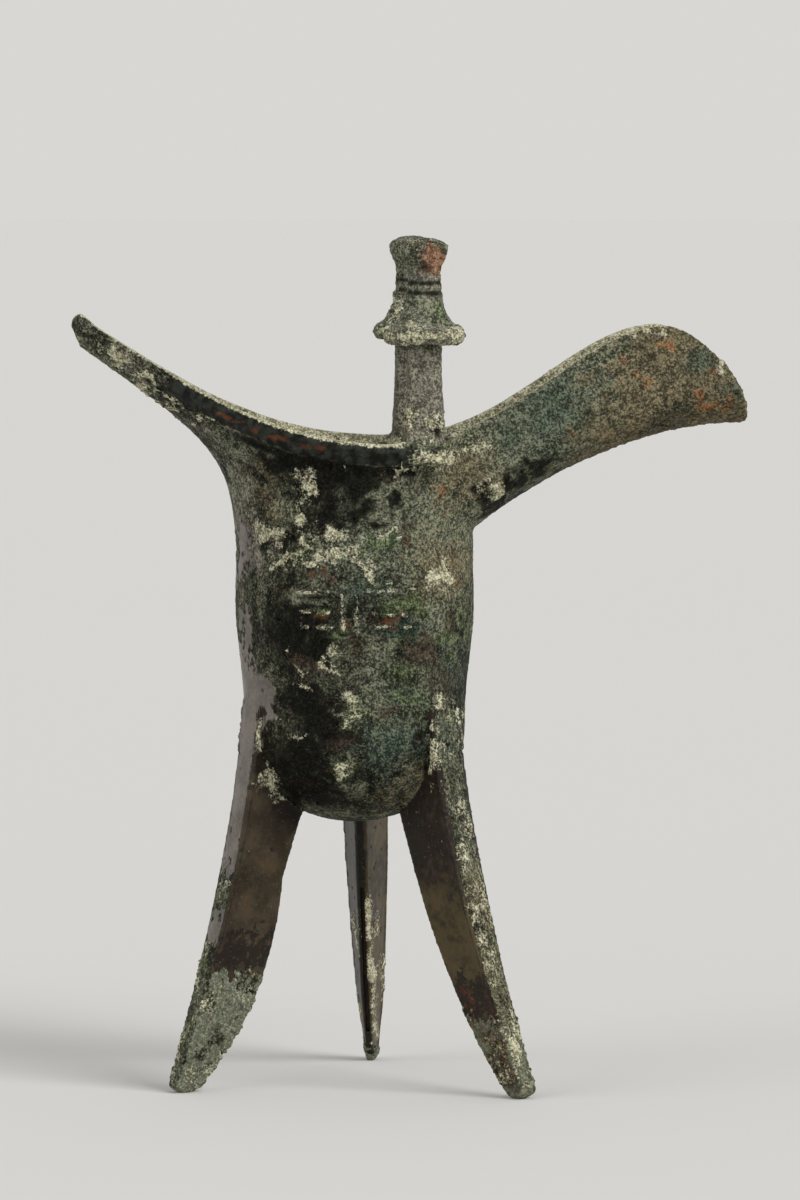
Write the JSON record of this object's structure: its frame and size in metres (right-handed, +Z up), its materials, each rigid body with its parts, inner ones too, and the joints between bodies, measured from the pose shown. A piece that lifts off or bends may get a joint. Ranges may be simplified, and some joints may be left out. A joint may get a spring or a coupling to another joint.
{
  "type": "bronze jue wine vessel",
  "caption": "Ancient cast bronze wine vessel: round-bottomed beaker on blade legs, with a pouring spout, a pointed tail, capped posts on the rim and a strap handle.",
  "frame": {"origin": "bottom centre of the whole object's box, on the plane of the three feet", "axes": "+Z up; +X towards the pouring spout, with the pointed tail towards -X; +Y towards the handle"},
  "size_m": [0.1646, 0.085, 0.2071],
  "materials": {
    "cup_bronze": "dark green-black cast bronze under a broken crust of grey-green, cream and rust red",
    "spout_bronze": "grainy corroded bronze, grey-green near the cup and rust orange towards the lip",
    "post_bronze": "grainy grey-green corroded bronze",
    "leg_bronze": "smooth satin brown bronze, with a rough grey-green crust at the feet",
    "fired_clay": "crumbly orange-brown fired clay"
  },
  "bodies": {
    "root": {"cup": "cup_bronze", "spout": "spout_bronze", "tail": "cup_bronze", "near_post": "post_bronze", "far_post": "post_bronze", "near_post_cap": "post_bronze", "far_post_cap": "post_bronze", "near_cap_core": "fired_clay", "far_cap_core": "fired_clay", "handle": "cup_bronze", "left_leg": "leg_bronze", "right_leg": "leg_bronze", "rear_leg": "leg_bronze", "left_leg_core": "fired_clay", "right_leg_core": "fired_clay", "rear_leg_core": "fired_clay", "core_spacers": "cup_bronze"}
  },
  "joints": []
}
